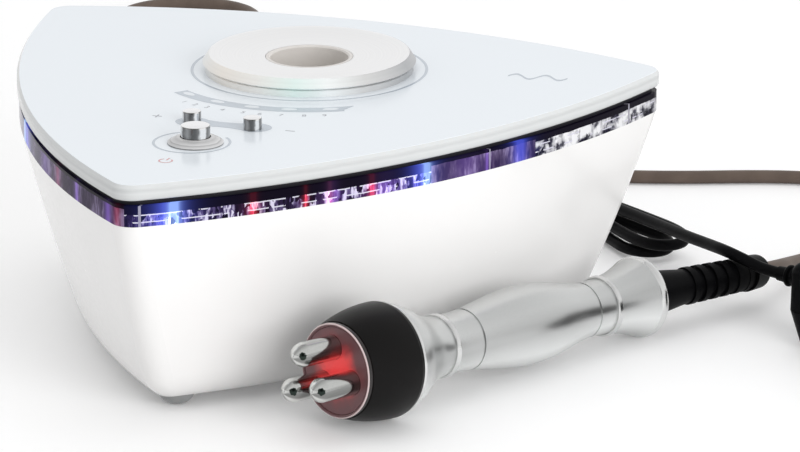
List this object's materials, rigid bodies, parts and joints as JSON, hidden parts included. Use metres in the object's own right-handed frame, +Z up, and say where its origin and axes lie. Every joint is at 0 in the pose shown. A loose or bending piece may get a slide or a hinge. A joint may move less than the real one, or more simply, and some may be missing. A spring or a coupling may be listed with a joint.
{
  "type": "tripolar radio frequency device",
  "caption": "Desk base with a glass top, light band, round holder and push buttons, a corded handpiece with a lit electrode head beside it, and a power adapter.",
  "frame": {"origin": "on the table, under the middle of the box that holds the base and the handpiece", "axes": "+Z up, along the holder's well; -Y to the user, where the base has its pointed end and its power button; +X to the user's right, where the handpiece lies"},
  "size_m": [0.4966, 0.5234, 0.0981],
  "materials": {
    "white_shell": "gloss",
    "clear_foot": "clear, soft",
    "screw_steel": "bright",
    "smoky_band": "clear, dark violet",
    "dark_frame": "matt",
    "strip_film": "matt",
    "blue_light": "lit",
    "pale_light": "clear",
    "white_glass": "polished",
    "silver_holder": "satin",
    "well_plastic": "satin",
    "bright_button": "polished",
    "green_board": "satin",
    "switch_black": "matt",
    "ferrite": "matt",
    "capacitor_sleeve": "gloss",
    "sink_metal": "matt",
    "ribbon_grey": "matt",
    "socket_black": "satin",
    "collar_black": "matt",
    "window_red": "frosted, lit",
    "lamp_red": "lit",
    "electrode_steel": "polished",
    "insulator_white": "matt",
    "handle_metal": "satin",
    "trim_chrome": "polished",
    "relief_rubber": "matt",
    "cord_grey": "satin",
    "cord_black": "satin",
    "adapter_black": "fine texture",
    "pin_brass": "nickelled"
  },
  "bodies": {
    "root": {"bottom_shell": "white_shell", "feet": "clear_foot", "case_screws": "screw_steel", "light_band": "smoky_band", "top_frame": "dark_frame", "light_strip": "strip_film", "band_lights": "blue_light", "glass_top": "white_glass", "holder_step": "silver_holder", "holder_disc": "silver_holder", "holder_well": "well_plastic", "power_bezel": "silver_holder", "button_board": "green_board", "board_screws": "screw_steel", "tact_switches": "switch_black", "level_lights": "pale_light", "main_board": "green_board", "rf_transformer": "ferrite", "capacitors": "capacitor_sleeve", "heat_sink": "sink_metal", "output_transistors": "switch_black", "beeper": "switch_black", "board_ribbon": "ribbon_grey", "handpiece_socket": "socket_black", "handpiece_socket_nut": "socket_black", "dc_socket": "socket_black", "dc_socket_nut": "screw_steel", "handpiece_plug": "socket_black", "handpiece_plug_relief": "relief_rubber", "handpiece_cord": "cord_grey", "adapter_lower_case": "adapter_black", "adapter_upper_case": "adapter_black", "adapter_pins": "pin_brass", "adapter_relief": "relief_rubber", "dc_hank": "cord_black", "hank_tie": "cord_black", "adapter_lead": "cord_black", "dc_plug": "socket_black", "dc_plug_relief": "relief_rubber", "socket_lead": "cord_black"},
    "power_button": {"power_button": "bright_button"},
    "plus_button": {"plus_button": "bright_button"},
    "minus_button": {"minus_button": "bright_button"},
    "handpiece": {"head_collar": "collar_black", "window_ring": "trim_chrome", "head_window": "window_red", "electrode_1": "electrode_steel", "electrode_2": "electrode_steel", "electrode_3": "electrode_steel", "electrode_insulator": "insulator_white", "electrode_nuts": "screw_steel", "lamp_board": "insulator_white", "red_lamps": "lamp_red", "head_ring": "trim_chrome", "handle_tube": "handle_metal", "handle_core": "collar_black", "trim_rings": "trim_chrome", "tail_ring": "trim_chrome", "tail_plug": "trim_chrome", "strain_relief": "relief_rubber"}
  },
  "joints": [
    {"name": "power_press", "type": "slide", "parent": "root", "child": "power_button", "axis": [0, 0, -1], "range_m": [0, 0.0012], "stiffness_N_per_m": 800},
    {"name": "plus_press", "type": "slide", "parent": "root", "child": "plus_button", "axis": [0, 0, -1], "range_m": [0, 0.0012], "stiffness_N_per_m": 800},
    {"name": "minus_press", "type": "slide", "parent": "root", "child": "minus_button", "axis": [0, 0, -1], "range_m": [0, 0.0012], "stiffness_N_per_m": 800},
    {"name": "handpiece_slide", "type": "slide", "parent": "root", "child": "handpiece", "axis": [-0.4067, -0.9135, 0], "range_m": [0, 0.06]}
  ]
}
